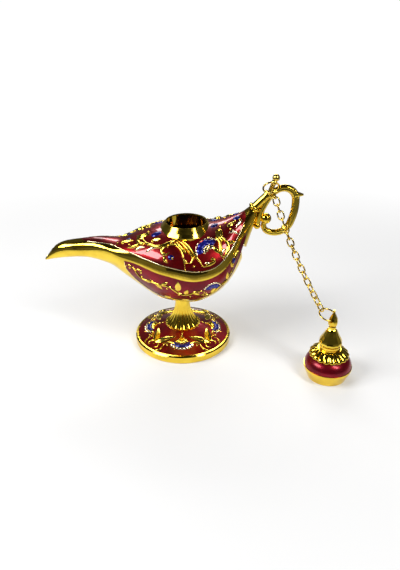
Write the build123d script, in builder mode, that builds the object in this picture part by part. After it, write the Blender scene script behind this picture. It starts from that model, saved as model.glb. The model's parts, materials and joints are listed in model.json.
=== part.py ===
# Genie oil lamp: an enamelled cast lamp on a round foot, with its stopper on a chain.
# Millimetres. Origin: centre of the foot, on the floor. +Z up, +X to the handle, -X to the spout.
import os
from math import acos, asin, ceil, copysign, cos, degrees, radians, sin
from build123d import *

os.makedirs("parts", exist_ok=True)

# Foot
foot_diameter = 47.0
foot_base_diameter = 46.3
foot_rim_height = 3.9
foot_rim_width = 1.3
foot_edge_radius = 0.6
foot_wall = 1.6
foot_top_height = 8.9
foot_seat_diameter = 17.2
foot_boss_diameter = 9.0
foot_boss_height = 3.2

# Stem
skirt_diameter = 16.2
waist_diameter = 7.2
flute_count = 20
flute_depth = 0.75
stem_bore_clearance = 0.1

# Tie screw that holds foot, stem and bowl together
screw_diameter = 3.0
screw_head_diameter = 5.6
screw_head_height = 1.8
screw_slot_width = 0.8
screw_slot_depth = 0.7
washer_thickness = 0.6
boss_diameter = 6.6
boss_height = 6.0

# Body castings
body_bottom_height = 24.0
body_length = 98.0
body_depth = 37.0
body_width = 44.6
shell_wall = 1.3
enamel_depth = 0.5
seam_edge_width = 0.8

# Mouth of the spout
mouth_notch_depth = 2.4
mouth_notch_height = 1.8
lip_top_shares = (-0.588, 0.760)
lip_notch_shares = (-0.604, 0.700)
lip_tip_shares = (-0.656, 0.522)

# Collar round the filling hole
collar_offset = 2.3
collar_top_height = 62.6
collar_bore_diameter = 17.8
collar_rim_width = 0.7
collar_spigot_diameter = 19.8
collar_flank_diameter = 23.0
collar_base_diameter = 25.2
collar_height = 5.2
collar_spigot_drop = 1.4
collar_flank_share = 0.42

# Neck ring, stud and handle
neck_ring_diameter = 5.8
neck_ring_height = 1.5
neck_ring_round_share = 0.42
stud_diameter = 1.6
stud_length = 7.0
tube_diameter = 3.8
tube_end_diameter = 3.4
tube_length = 7.1
tube_lean = 43.5
cup_diameter = 4.5
cup_height = 1.3
rod_width = 2.9
rod_thickness = 2.4
riser_forward = 2.1
riser_drop = 8.0
riser_heading = 84.0
riser_radius, riser_turn = 30.0, 30.0
shoulder_radius, shoulder_turn = 9.0, 28.0
loop_top_radius, loop_top_turn = 5.4, 112.0
loop_side_radius, loop_side_turn = 26.0, 26.0
loop_foot_radius, loop_foot_turn = 7.4, 92.0
curl_radius, curl_turn = 3.0, 85.0
toe_ball_diameter = 3.2
curl_ball_diameter = 4.2
spur_length = 3.0
spur_diameter = 2.4
spur_lift = 12.0
spur_place_share = 0.66
spur_point_share = 0.8

# Hanger pin and its jump ring
pin_diameter = 2.1
pin_lean = 20.0
pin_socket_depth = 1.0
pin_eye_height = 5.1
pin_eye_diameter = 2.7
pin_hole_diameter = 1.3
pin_ball_diameter = 3.3
pin_ball_height = 2.35
ring_diameter = 7.8
ring_wire = 0.8
ring_heading = -28.6
ring_droop = 24.2

# Chain
link_wire = 0.65
link_width = 3.2
link_pitch = 3.15
link_play = 0.12
ring_play = 0.36
chain_lean = 31.0
chain_spread = 8.0
chain_heading = -43.0
steepest_lean = 80.0
lean_trials = 50

# Stopper at the end of the chain
cap_ring_diameter = 8.2
cap_ring_wire = 0.7
cap_ring_heading = 40.0
cap_ring_rise = 17.5
cap_base_diameter = 17.6
cap_diameter = 21.5
cap_ring_height = 5.9
cap_bead_height = 0.9
cap_wall = 1.6
cap_recess_height = 2.4
cap_body_height = 11.0
cap_neck_diameter = 14.6
cap_enamel_depth = 0.5
cap_enamel_bulge = 0.8
crown_diameter = 17.8
crown_height = 3.6
crown_lobes = 18
crown_lobe_depth = 0.7
step_diameter = 9.2
step_height = 2.4
knob_diameter = 10.3
knob_height = 7.8
knob_neck_diameter = 3.4
knob_facets = 12
tip_collar_diameter = 3.2
tip_collar_height = 1.2
tip_diameter = 4.3
tip_height = 9.2
tip_facets = 8
tip_hole_height = 4.4
tip_hole_diameter = 1.8
cap_stud_diameter = 1.2

# Sections of the body from the spout's tip to the neck: ridge point, keel point, height of
# the seam from keel to ridge, and half width. Places along x are shares of the body's length,
# places in z shares of its depth above its bottom, half widths shares of the half width.
section_shares = [
    (-0.650, 0.545, -0.652, 0.520, 0.55, 0.040),
    (-0.612, 0.675, -0.616, 0.535, 0.58, 0.117),
    (-0.571, 0.752, -0.575, 0.551, 0.60, 0.152),
    (-0.510, 0.792, -0.513, 0.565, 0.56, 0.175),
    (-0.449, 0.813, -0.454, 0.565, 0.53, 0.197),
    (-0.367, 0.819, -0.375, 0.513, 0.66, 0.269),
    (-0.291, 0.805, -0.301, 0.411, 0.69, 0.404),
    (-0.225, 0.857, -0.235, 0.276, 0.675, 0.578),
    (-0.163, 0.922, -0.173, 0.157, 0.645, 0.749),
    (-0.102, 0.973, -0.112, 0.059, 0.61, 0.892),
    (-0.041, 0.995, -0.046, 0.013, 0.585, 0.973),
    (0.031, 1.000, 0.031, 0.000, 0.54, 1.000),
    (0.102, 1.008, 0.133, 0.073, 0.51, 0.964),
    (0.163, 1.030, 0.207, 0.222, 0.485, 0.834),
    (0.209, 1.068, 0.267, 0.451, 0.48, 0.619),
    (0.245, 1.108, 0.306, 0.716, 0.49, 0.377),
    (0.282, 1.157, 0.336, 0.981, 0.48, 0.202),
    (0.316, 1.230, 0.351, 1.168, 0.50, 0.094),
]
first_hollow_section, last_hollow_section = 1, 15
first_enamel_section, last_enamel_section = 3, 17
mouth_core_shares = (-0.665, 0.590, -0.668, 0.560, 0.50, 0.045)

# Lower border of the upper enamel, seen from the side, as shares like the sections' places
upper_panel_shares = [
    (-0.505, 0.830), (-0.439, 0.797), (-0.357, 0.792), (-0.281, 0.762), (-0.211, 0.751),
    (-0.150, 0.732), (-0.090, 0.705), (-0.028, 0.676), (0.031, 0.646), (0.082, 0.635),
    (0.128, 0.649), (0.168, 0.686), (0.204, 0.759), (0.238, 0.862), (0.270, 0.984),
    (0.291, 1.081), (0.294, 1.157), (0.270, 1.210),
]
# Lower border of the side enamels of the bowl, as shares like the sections' places
lower_panel_shares = [
    (-0.261, 0.640), (-0.255, 0.549), (-0.224, 0.432), (-0.187, 0.346), (-0.128, 0.254),
    (-0.058, 0.195), (0.020, 0.168), (0.102, 0.203), (0.173, 0.311), (0.230, 0.486),
    (0.270, 0.703), (0.294, 0.878), (0.303, 0.960),
]
first_panel_seam, last_panel_seam = 7, 15


def body_point(x_share, z_share):
    """Place in the lamp's middle plane from shares of the body's length and depth."""
    return Vector(x_share * body_length, 0, body_bottom_height + z_share * body_depth)


def seam_point(section):
    """Place of the seam on one section."""
    ridge, keel = body_point(*section[0:2]), body_point(*section[2:4])
    return keel + (ridge - keel) * section[4]


def body_loft(sections, inset, start_sections=()):
    """Solid through the sections, each drawn in by the inset."""
    with BuildPart() as lofted:
        for section in list(start_sections) + list(sections):
            wall = 0 if section in start_sections else inset
            ridge, keel = body_point(*section[0:2]), body_point(*section[2:4])
            seam = seam_point(section)
            across = Vector(0, 1, 0)
            plane = Plane(origin=seam, x_dir=across, z_dir=across.cross(ridge - keel))
            half_width = section[5] * body_width / 2 - wall
            with BuildSketch(plane):
                with BuildLine():
                    EllipticalCenterArc((0, 0), half_width, (ridge - seam).length - wall,
                                        start_angle=0, arc_size=180)
                    EllipticalCenterArc((0, 0), half_width, (seam - keel).length - wall,
                                        start_angle=180, arc_size=180)
                make_face()
        loft()
    return lofted.part


body_outer = body_loft(section_shares, 0)
body_recess = body_loft(section_shares[first_enamel_section:last_enamel_section + 1], enamel_depth)
body_cavity = body_loft(section_shares[first_hollow_section:last_hollow_section + 1], shell_wall,
                        start_sections=[mouth_core_shares])

# Regions above the seam and inside the borders of the enamels
seam_points = [seam_point(section) for section in section_shares]
seam_start = seam_points[0] - (seam_points[1] - seam_points[0])
seam_end = seam_points[-1] + (seam_points[-1] - seam_points[-2])
sky_height = body_bottom_height + body_depth + body_length / 3
with BuildPart() as above_seam:
    with BuildSketch(Plane.XZ):
        with BuildLine():
            Spline(*[(p.X, p.Z) for p in [seam_start] + seam_points + [seam_end]])
            Polyline((seam_end.X, seam_end.Z), (seam_end.X, sky_height),
                     (seam_start.X, sky_height), (seam_start.X, seam_start.Z))
        make_face()
    extrude(amount=body_width, both=True)
with BuildPart() as upper_panel:
    border = [body_point(*share) for share in upper_panel_shares]
    with BuildSketch(Plane.XZ):
        with BuildLine():
            Spline(*[(p.X, p.Z) for p in border])
            Polyline((border[-1].X, border[-1].Z), (border[-1].X, sky_height),
                     (border[0].X, sky_height), (border[0].X, border[0].Z))
        make_face()
    extrude(amount=body_width, both=True)
with BuildPart() as lower_panel:
    border = [body_point(*share) for share in lower_panel_shares]
    edge = [p - Vector(0, 0, seam_edge_width)
            for p in reversed(seam_points[first_panel_seam:last_panel_seam + 1])]
    with BuildSketch(Plane.XZ):
        with BuildLine():
            Spline(*[(p.X, p.Z) for p in border])
            Spline(*[(p.X, p.Z) for p in edge])
            Line((border[-1].X, border[-1].Z), (edge[0].X, edge[0].Z))
            Line((edge[-1].X, edge[-1].Z), (border[0].X, border[0].Z))
        make_face()
    extrude(amount=body_width, both=True)

parts = {}


def finish(name, part):
    """Label one finished piece and keep it for export."""
    part.label = name
    parts[name] = part


# Mouth of the spout: a slanted cut with a notch under the upper lip
lip_top = body_point(*lip_top_shares)
lip_tip = body_point(*lip_tip_shares)
lip_notch = body_point(*lip_notch_shares)
lip_slope = (lip_top - lip_tip).normalized()
with BuildPart() as mouth_cut:
    notch_inner = lip_notch + Vector(mouth_notch_depth, 0, -mouth_notch_height / 2)
    notch_under = lip_notch - lip_slope * mouth_notch_height
    far_top = lip_top + lip_slope * mouth_notch_depth * 2
    far_left = Vector(lip_tip.X - mouth_notch_depth, 0, far_top.Z)
    low_left = Vector(far_left.X, 0, lip_tip.Z)
    with BuildSketch(Plane.XZ):
        with BuildLine():
            Polyline(*[(p.X, p.Z) for p in (far_top, lip_notch, notch_inner, notch_under, lip_tip,
                                            low_left, far_left)], close=True)
        make_face()
    extrude(amount=body_width, both=True)

# Foot: gold rim, recessed field for the enamel, hollow underside with a boss for the screw
foot_radius = foot_diameter / 2
field_outer_radius = foot_radius - foot_rim_width
seat_radius = foot_seat_diameter / 2
boss_radius = foot_boss_diameter / 2
field_slope = (foot_top_height - foot_rim_height) / (field_outer_radius - seat_radius)
bore_radius = screw_diameter / 2 + stem_bore_clearance
field_low, field_high = foot_rim_height - enamel_depth, foot_top_height - enamel_depth
boss_ceiling = field_high - foot_wall + field_slope * (seat_radius - boss_radius)
with BuildPart() as foot_plate:
    with BuildSketch(Plane.XZ):
        with BuildLine():
            Polyline(
                (bore_radius, foot_boss_height),
                (boss_radius, foot_boss_height),
                (boss_radius, boss_ceiling),
                (field_outer_radius - foot_wall, field_low - foot_wall),
                (field_outer_radius - foot_edge_radius, 0),
                (foot_base_diameter / 2, 0),
                (foot_radius, foot_edge_radius),
                (foot_radius, foot_rim_height - foot_edge_radius),
                (foot_radius - foot_edge_radius, foot_rim_height),
                (field_outer_radius, foot_rim_height),
                (field_outer_radius, field_low),
                (seat_radius, field_high),
                (seat_radius, foot_top_height),
                (bore_radius, foot_top_height),
                close=True,
            )
        make_face()
    revolve(axis=Axis.Z)
finish("foot_plate", foot_plate.part)

with BuildPart() as foot_enamel:
    with BuildSketch(Plane.XZ):
        with BuildLine():
            Polyline((field_outer_radius, field_low), (field_outer_radius, foot_rim_height),
                     (seat_radius, foot_top_height), (seat_radius, field_high), close=True)
        make_face()
    revolve(axis=Axis.Z)
finish("foot_enamel", foot_enamel.part)

# Stem: fluted skirt drawn in to a plain waist, seated on the foot and cut to the bowl
stem_section_shares = [(0.00, 1.00, 1.00), (0.14, 0.80, 1.00), (0.34, 0.60, 0.80),
                       (0.56, 0.475, 0.35), (0.78, 0.444, 0.10), (1.12, 0.475, 0.05)]
stem_height = body_bottom_height - foot_top_height
stem_scale = waist_diameter / (stem_section_shares[4][1] * skirt_diameter)
with BuildPart() as stem:
    for height_share, radius_share, flute_share in stem_section_shares:
        waist_part = min(height_share / stem_section_shares[3][0], 1)
        ridge_radius = skirt_diameter / 2 * radius_share * (1 + (stem_scale - 1) * waist_part)
        groove_radius = ridge_radius - flute_depth * flute_share
        with BuildSketch(Plane.XY.offset(foot_top_height + stem_height * height_share)):
            with BuildLine():
                for flute in range(flute_count):
                    angles = [360 / flute_count * (flute + step) for step in (0, 1 / 2, 1)]
                    radii = (ridge_radius, groove_radius, ridge_radius)
                    ThreePointArc(*[(r * cos(radians(a)), r * sin(radians(a)))
                                    for r, a in zip(radii, angles)])
            make_face()
    loft()
    Hole(bore_radius)
finish("stem", stem.part - body_outer)

# Tie screw and washer, driven from under the foot into the bowl's boss
screw_top = body_bottom_height + shell_wall + boss_height - washer_thickness
washer_base = foot_boss_height - washer_thickness
head_base = washer_base - screw_head_height
with BuildPart() as tie_washer:
    with BuildSketch(Plane.XY.offset(washer_base)):
        Circle(screw_head_diameter / 2)
        Circle(bore_radius, mode=Mode.SUBTRACT)
    extrude(amount=washer_thickness)
finish("tie_washer", tie_washer.part)
with BuildPart() as tie_screw:
    with BuildSketch(Plane.XY.offset(head_base)):
        Circle(screw_head_diameter / 2)
    extrude(amount=screw_head_height)
    with BuildSketch(Plane.XY.offset(head_base)):
        Circle(screw_diameter / 2)
    extrude(amount=screw_top - head_base)
    with BuildSketch(Plane.XY.offset(head_base)):
        Rectangle(screw_head_diameter, screw_slot_width)
    extrude(amount=screw_slot_depth, mode=Mode.SUBTRACT)
    chamfer(tie_screw.faces().sort_by(Axis.Z)[-1].edges(), screw_slot_depth / 2)
finish("tie_screw", tie_screw.part)

# Enamels and the two castings of the body
body_skin = body_outer - body_recess
finish("upper_enamel", body_skin & upper_panel.part)
side_enamels = (body_skin & lower_panel.part).solids().sort_by(Axis.Y)
finish("front_enamel", Part(side_enamels[0].wrapped))
finish("back_enamel", Part(side_enamels[-1].wrapped))

collar_radius = collar_spigot_diameter / 2
collar_bottom = collar_top_height - collar_height
collar_plane = Plane(origin=(collar_offset, 0, 0))
with BuildPart() as filling_hole:
    with BuildSketch(collar_plane.offset(collar_bottom - collar_spigot_drop)):
        Circle(collar_radius)
    extrude(amount=collar_height * 2)
with BuildPart() as boss:
    with BuildSketch(Plane.XY.offset(body_bottom_height)):
        Circle(boss_diameter / 2)
    extrude(amount=shell_wall + boss_height)
with BuildPart() as thread_bore:
    with BuildSketch():
        Circle(screw_diameter / 2)
    extrude(amount=screw_top)
body_shell = body_outer - body_cavity - mouth_cut.part
upper_half = body_shell & above_seam.part
lower_half = body_shell - above_seam.part
finish("upper_shell", upper_half - filling_hole.part - parts["upper_enamel"])
parts["upper_enamel"] = parts["upper_enamel"] - filling_hole.part
parts["upper_enamel"].label = "upper_enamel"
bowl_boss = (boss.part & body_outer) + lower_half
finish("lower_bowl", bowl_boss - thread_bore.part - parts["front_enamel"] - parts["back_enamel"])

# Collar round the filling hole, seated on the dome
bore = collar_bore_diameter / 2
rim = bore + collar_rim_width
flank_height = collar_top_height - collar_height * collar_flank_share
foot_of_collar = collar_bottom + collar_spigot_drop / 2
with BuildPart() as collar:
    with BuildSketch(Plane.XZ):
        with BuildLine():
            Polyline(
                (bore, collar_bottom), (bore, collar_top_height - collar_rim_width / 2),
                (bore + collar_rim_width / 2, collar_top_height), (rim, collar_top_height),
                (collar_flank_diameter / 2, flank_height),
                (collar_base_diameter / 2, flank_height - collar_spigot_drop),
                (collar_base_diameter / 2, foot_of_collar),
                (collar_radius, foot_of_collar), (collar_radius, collar_bottom), close=True,
            )
        make_face()
    revolve(axis=Axis.Z)
seated_collar = Location((collar_offset, 0, 0)) * collar.part
finish("collar", seated_collar - parts["upper_shell"] - parts["upper_enamel"])

# Neck ring and the stud that joins the handle to the body
neck_ridge, neck_keel = body_point(*section_shares[-1][0:2]), body_point(*section_shares[-1][2:4])
neck_end = (neck_ridge + neck_keel) / 2
neck_axis = Vector(0, 1, 0).cross(neck_ridge - neck_keel).normalized()
neck_plane = Plane(origin=neck_end, z_dir=neck_axis)
with BuildPart() as stud:
    with BuildSketch(neck_plane.offset(-stud_length / 2)):
        Circle(stud_diameter / 2)
    extrude(amount=stud_length)
finish("neck_stud", stud.part)
for half in ("upper_shell", "lower_bowl"):
    finish(half, parts[half] - stud.part)
with BuildPart() as neck_ring:
    with BuildSketch(neck_plane):
        Circle(neck_ring_diameter / 2)
    extrude(amount=neck_ring_height)
    fillet(neck_ring.edges().filter_by(GeomType.CIRCLE), neck_ring_height * neck_ring_round_share)
finish("neck_ring", neck_ring.part - stud.part)

# Handle tube with its cup
tube_start = neck_end + neck_axis * neck_ring_height
tube_axis = Vector(sin(radians(tube_lean)), 0, cos(radians(tube_lean)))
tube_sink = neck_ring_height / 2
cup_top = tube_start + tube_axis * (tube_length + cup_height)
with BuildPart() as handle_tube:
    with BuildSketch(Plane(origin=tube_start - tube_axis * tube_sink, z_dir=tube_axis)):
        Circle(tube_diameter / 2)
    with BuildSketch(Plane(origin=tube_start + tube_axis * tube_length, z_dir=tube_axis)):
        Circle(tube_end_diameter / 2)
    loft()
    with BuildSketch(Plane(origin=tube_start + tube_axis * tube_length, z_dir=tube_axis)):
        Circle(cup_diameter / 2)
    extrude(amount=cup_height)
    fillet(handle_tube.faces().sort_by(Axis(tube_start, tube_axis))[-1].edges(), cup_height / 3)

# Hanger pin: a leaning post with a cross hole and a ball
pin_axis = Vector(sin(radians(pin_lean)), 0, cos(radians(pin_lean)))
pin_hole = cup_top + pin_axis * pin_eye_height
ring_across = Vector(cos(radians(ring_heading)), sin(radians(ring_heading)), 0)
ring_forward = Vector(sin(radians(ring_heading)), -cos(radians(ring_heading)), 0)
with BuildPart() as hanger_pin:
    with BuildSketch(Plane(origin=cup_top - pin_axis * pin_socket_depth, z_dir=pin_axis)):
        Circle(pin_diameter / 2)
    extrude(amount=pin_socket_depth + pin_eye_height + pin_ball_height)
    with Locations(pin_hole):
        Sphere(pin_eye_diameter / 2)
    with Locations(pin_hole + pin_axis * pin_ball_height):
        Sphere(pin_ball_diameter / 2)
    with BuildSketch(Plane(origin=pin_hole, z_dir=ring_across)):
        Circle(pin_hole_diameter / 2)
    extrude(amount=pin_eye_diameter, both=True, mode=Mode.SUBTRACT)
finish("hanger_pin", hanger_pin.part)
finish("handle_tube", handle_tube.part - neck_ring.part - stud.part - hanger_pin.part)

# Handle scroll: one rod that rises along the tube, loops over and curls in to a ball
with BuildPart() as handle_scroll:
    toe = neck_end + Vector(riser_forward, 0, -riser_drop)
    heading = Vector(cos(radians(riser_heading)), 0, sin(radians(riser_heading)))
    with BuildLine(Plane.XZ) as scroll_path:
        riser = JernArc((toe.X, toe.Z), (heading.X, heading.Z), riser_radius, -riser_turn)
        shoulder = JernArc(riser @ 1, riser % 1, shoulder_radius, -shoulder_turn)
        over = JernArc(shoulder @ 1, shoulder % 1, loop_top_radius, -loop_top_turn)
        side = JernArc(over @ 1, over % 1, loop_side_radius, -loop_side_turn)
        under = JernArc(side @ 1, side % 1, loop_foot_radius, -loop_foot_turn)
        curl = JernArc(under @ 1, under % 1, curl_radius, -curl_turn)
    start, start_heading = riser @ 0, riser % 0
    with BuildSketch(Plane(origin=start, x_dir=(0, 1, 0), z_dir=start_heading)):
        Ellipse(rod_thickness / 2, rod_width / 2)
    sweep(path=scroll_path.line)
    with Locations(start):
        Sphere(toe_ball_diameter / 2)
    with Locations((curl @ 1) + (curl % 1) * curl_ball_diameter / 4):
        Sphere(curl_ball_diameter / 2)
    spur_axis = Vector(cos(radians(spur_lift)), 0, sin(radians(spur_lift)))
    spur_root = over @ spur_place_share
    with BuildSketch(Plane(origin=spur_root, z_dir=spur_axis)):
        Circle(spur_diameter / 2)
    spur_taper = degrees(asin(spur_diameter / 2 / spur_length)) * spur_point_share
    extrude(amount=spur_length, taper=spur_taper)
scroll_seats = handle_tube.part + neck_ring.part + hanger_pin.part + body_outer
finish("handle_scroll", handle_scroll.part - scroll_seats)


def jump_ring(name, centre, across, toward, diameter, wire):
    """Round wire ring in the plane of two directions, with its joint closed."""
    with BuildPart() as ring:
        with BuildSketch(Plane(origin=centre, x_dir=toward, z_dir=across)):
            with Locations(((diameter - wire) / 2, 0)):
                Circle(wire / 2)
        revolve(axis=Axis(centre, across.cross(toward)))
    finish(name, ring.part)


def wire_shift(diameter, wire, hole_width):
    """How far a ring's wire is set back in its hole, so that its bow clears both edges."""
    radius = (diameter - wire) / 2
    return (radius - (radius ** 2 - (hole_width / 2) ** 2) ** 0.5) / 2


def hang_chain(mean_lean, link_count):
    """Directions and pivots of the links from the hanger's ring, and where the last ring hooks in."""
    leans = [radians(mean_lean + chain_spread * (2 * k / (link_count - 1) - 1))
             for k in range(link_count)]
    courses = [away * sin(lean) + Vector(0, 0, -cos(lean)) for lean in leans]
    pull = courses[0] - ring_normal * courses[0].dot(ring_normal)
    hook = ring_centre + pull.normalized() * ring_radius
    first_gap = (ring_wire + link_wire) / 2 + ring_play
    link_gap = link_wire + link_play
    last_gap = (link_wire + cap_ring_wire) / 2 + ring_play
    pivots = [hook, hook + courses[0] * (link_pitch + link_gap - first_gap)]
    for course in courses[1:]:
        pivots.append(pivots[-1] + course * link_pitch)
    return courses, pivots, pivots[-1] - courses[-1] * last_gap


# Hanger ring, lying forward from its pin
ring_radius = (ring_diameter - ring_wire) / 2
droop = radians(ring_droop)
ring_toward = ring_forward * cos(droop) + Vector(0, 0, -sin(droop))
ring_normal = ring_across.cross(ring_toward)
ring_centre = pin_hole + ring_toward * (ring_radius
                                        - wire_shift(ring_diameter, ring_wire, pin_eye_diameter))
jump_ring("hanger_ring", ring_centre, ring_across, ring_toward, ring_diameter, ring_wire)

# Stopper's eye: its height over the floor and the way its ring lies
knob_base_height = cap_body_height + crown_height + step_height
tip_base_height = knob_base_height + knob_height
eye_height = tip_base_height + tip_hole_height
cap_across = Vector(cos(radians(cap_ring_heading)), sin(radians(cap_ring_heading)), 0)
cap_back = Vector(-sin(radians(cap_ring_heading)), cos(radians(cap_ring_heading)), 0)
rise = radians(cap_ring_rise)
cap_toward = cap_back * cos(rise) + Vector(0, 0, sin(rise))
cap_ring_radius = (cap_ring_diameter - cap_ring_wire) / 2
cap_ring_reach = cap_ring_radius - wire_shift(cap_ring_diameter, cap_ring_wire, tip_diameter)
end_height = eye_height + cap_toward.Z * (cap_ring_radius + cap_ring_reach)

# Chain: as many links as span the drop at the chosen lean, then the lean that fits them
away = Vector(cos(radians(chain_heading)), sin(radians(chain_heading)), 0)
drop = ring_centre.Z - end_height
link_count = ceil(drop / (link_pitch * cos(radians(chain_lean))))
low_lean, high_lean = 0, steepest_lean
for _ in range(lean_trials):
    mean_lean = (low_lean + high_lean) / 2
    if hang_chain(mean_lean, link_count)[2].Z > end_height:
        high_lean = mean_lean
    else:
        low_lean = mean_lean
courses, pivots, chain_end = hang_chain(mean_lean, link_count)
eye = chain_end - cap_toward * (cap_ring_radius + cap_ring_reach)
hook_tangent = ring_normal.cross((pivots[0] - ring_centre).normalized())


def link_facings(twist):
    """Normals of the links' planes, a quarter turn from link to link and an even twist."""
    facing = hook_tangent
    facings = []
    for course in courses:
        facing = (facing - course * facing.dot(course)).normalized()
        facings.append(facing)
        quarter = facing.cross(course)
        facing = quarter * cos(radians(twist)) + course.cross(quarter) * sin(radians(twist))
    return facings


# Even twist that lets the stopper's ring pass square through the last link
last_course, last_facing = courses[-1], link_facings(0)[-1]
alike = last_facing.dot(cap_across)
slant = copysign(degrees(acos(abs(alike))), last_facing.cross(cap_across).dot(last_course) * alike)
facings = link_facings(slant / (link_count - 1))
link_length = link_pitch + link_wire + link_play
bend_radius = (link_width - link_wire) / 2
bar_length = link_length - 2 * bend_radius
link_names = []
joint_lines = []
for number, (course, facing) in enumerate(zip(courses, facings), start=1):
    joint_lines.append((pivots[number - 1], facing))
    tail = pivots[number]
    middle = tail - course * link_length / 2
    with BuildPart() as link:
        with BuildSketch(Plane(origin=middle, x_dir=facing.cross(course), z_dir=course)):
            with Locations((bend_radius, 0), (-bend_radius, 0)):
                Circle(link_wire / 2)
        extrude(amount=bar_length / 2, both=True)
        for end in (1, -1):
            bend_centre = middle + course * end * bar_length / 2
            with BuildSketch(Plane(origin=bend_centre, x_dir=facing.cross(course), z_dir=course)):
                with Locations((bend_radius, 0)):
                    Circle(link_wire / 2)
            revolve(axis=Axis(bend_centre, facing * end), revolution_arc=-180)
    name = f"link_{number:02d}"
    link_names.append(name)
    finish(name, link.part)
joint_lines.append((pivots[-1], facings[-1].cross(last_course)))

cap_ring_centre = eye + cap_toward * cap_ring_reach
jump_ring("cap_ring", cap_ring_centre, cap_across, cap_toward, cap_ring_diameter, cap_ring_wire)


def at_cap(height):
    """Level plane on the stopper's axis."""
    return Plane(origin=(eye.X, eye.Y, height))


def lobed_outline(count, radius, depth):
    """Closed row of round lobes in the current sketch."""
    for lobe in range(count):
        angles = [360 / count * (lobe + step) for step in (0, 1 / 2, 1)]
        radii = (radius - depth, radius, radius - depth)
        ThreePointArc(*[(r * cos(radians(a)), r * sin(radians(a)))
                        for r, a in zip(radii, angles)])


# Stopper: plug and body in one casting, hollow below, with the enamel laid round it
cap_axis = Axis((eye.X, eye.Y, 0), (0, 0, 1))
cap_side = Plane(origin=(eye.X, eye.Y, 0), x_dir=(1, 0, 0), z_dir=(0, -1, 0))
cap_radius, cap_neck_radius = cap_diameter / 2, cap_neck_diameter / 2
cap_base_radius = cap_base_diameter / 2
stud_radius = cap_stud_diameter / 2
swell_low = (cap_radius - cap_enamel_depth / 2, cap_ring_height)
swell_top = (cap_neck_radius, cap_body_height)
swell_middle = ((swell_low[0] + swell_top[0]) / 2 + cap_enamel_bulge,
                (swell_low[1] + swell_top[1]) / 2 + cap_enamel_bulge / 2)
floor_low, floor_middle, floor_top = [(x - cap_enamel_depth, z)
                                      for x, z in (swell_low, swell_middle, swell_top)]
with BuildPart() as cap_body:
    with BuildSketch(cap_side):
        with BuildLine():
            Polyline(
                floor_top, (stud_radius, cap_body_height), (stud_radius, cap_recess_height),
                (cap_base_radius - cap_wall, cap_recess_height), (cap_base_radius - cap_wall, 0),
                (cap_base_radius, 0), (cap_radius, cap_ring_height - cap_bead_height),
                (cap_radius, cap_ring_height), floor_low,
            )
            ThreePointArc(floor_low, floor_middle, floor_top)
        make_face()
    revolve(axis=cap_axis)
finish("cap_body", cap_body.part)
with BuildPart() as cap_enamel:
    with BuildSketch(cap_side):
        with BuildLine():
            Line(floor_low, swell_low)
            ThreePointArc(swell_low, swell_middle, swell_top)
            Line(swell_top, floor_top)
            ThreePointArc(floor_top, floor_middle, floor_low)
        make_face()
    revolve(axis=cap_axis)
finish("cap_enamel", cap_enamel.part)
crown_section_shares = [(0.00, 0.80, 0.6), (0.22, 1.00, 1.0), (0.62, 0.86, 0.8), (1.00, 0.59, 0.4)]
with BuildPart() as cap_crown:
    for height_share, radius_share, depth_share in crown_section_shares:
        with BuildSketch(at_cap(cap_body_height + crown_height * height_share)):
            with BuildLine():
                lobed_outline(crown_lobes, crown_diameter / 2 * radius_share,
                              crown_lobe_depth * depth_share)
            make_face()
    loft()
    with BuildSketch(at_cap(cap_body_height)):
        Circle(stud_radius)
    extrude(amount=crown_height, mode=Mode.SUBTRACT)
finish("cap_crown", cap_crown.part)
knob_section_shares = [(0.00, 0.94), (0.12, 1.00), (0.40, 0.84), (0.70, 0.60)]
with BuildPart() as cap_knob:
    crown_top = cap_body_height + crown_height
    with BuildSketch(at_cap(crown_top)):
        Circle(step_diameter / 2)
    extrude(amount=step_height / 3)
    with BuildSketch(at_cap(crown_top)):
        Circle(step_diameter / 2 - cap_enamel_depth)
    extrude(amount=step_height)
    with BuildSketch(at_cap(crown_top + step_height / 2)):
        Circle(step_diameter / 2)
    extrude(amount=step_height / 3)
    for height_share, radius_share in knob_section_shares + [(1, None)]:
        radius = knob_diameter / 2 * radius_share if radius_share else knob_neck_diameter / 2
        with BuildSketch(at_cap(knob_base_height + knob_height * height_share)):
            RegularPolygon(radius, knob_facets)
    loft()
    with BuildSketch(at_cap(crown_top)):
        Circle(stud_radius)
    extrude(amount=step_height + knob_height, mode=Mode.SUBTRACT)
finish("cap_knob", cap_knob.part)
tip_section_shares = [(0.13, 0.62), (0.28, 0.97), (0.40, 1.00), (0.62, 0.72), (1.00, 0.20)]
with BuildPart() as cap_tip:
    with BuildSketch(at_cap(tip_base_height)):
        Circle(tip_collar_diameter / 2)
    extrude(amount=tip_collar_height)
    for height_share, radius_share in tip_section_shares:
        with BuildSketch(at_cap(tip_base_height + tip_height * height_share)):
            RegularPolygon(tip_diameter / 2 * radius_share, tip_facets)
    loft()
    with BuildSketch(Plane(origin=eye, z_dir=cap_across)):
        Circle(tip_hole_diameter / 2)
    extrude(amount=tip_diameter, both=True, mode=Mode.SUBTRACT)
with BuildPart() as cap_stud:
    with BuildSketch(at_cap(cap_recess_height)):
        Circle(stud_radius)
    extrude(amount=tip_base_height + tip_collar_height - cap_recess_height)
finish("cap_stud", cap_stud.part)
finish("cap_tip", cap_tip.part - cap_stud.part)

for name, part in parts.items():
    export_step(part, f"parts/{name}.step")

print("chain links", link_count, "mean lean", round(mean_lean, 2))
print("last link off the ring", degrees(acos(abs(facings[-1].dot(cap_across)))))
print("hanger ring hinge", tuple(pin_hole), tuple(ring_across))
for name, (place, line) in zip(link_names + ["cap_ring"], joint_lines):
    print(name, [round(v, 3) for v in place], [round(v, 4) for v in line])
print("cap hinge", tuple(eye), tuple(cap_across))
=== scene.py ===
# Genie oil lamp: polished gold castings, red and blue enamel fields, raised scrollwork and a
# stopper on a chain. Metres, in the frame of the CAD model; sizes here are millimetres times MM.
import json
from math import cos, pi, radians, sin

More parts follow.
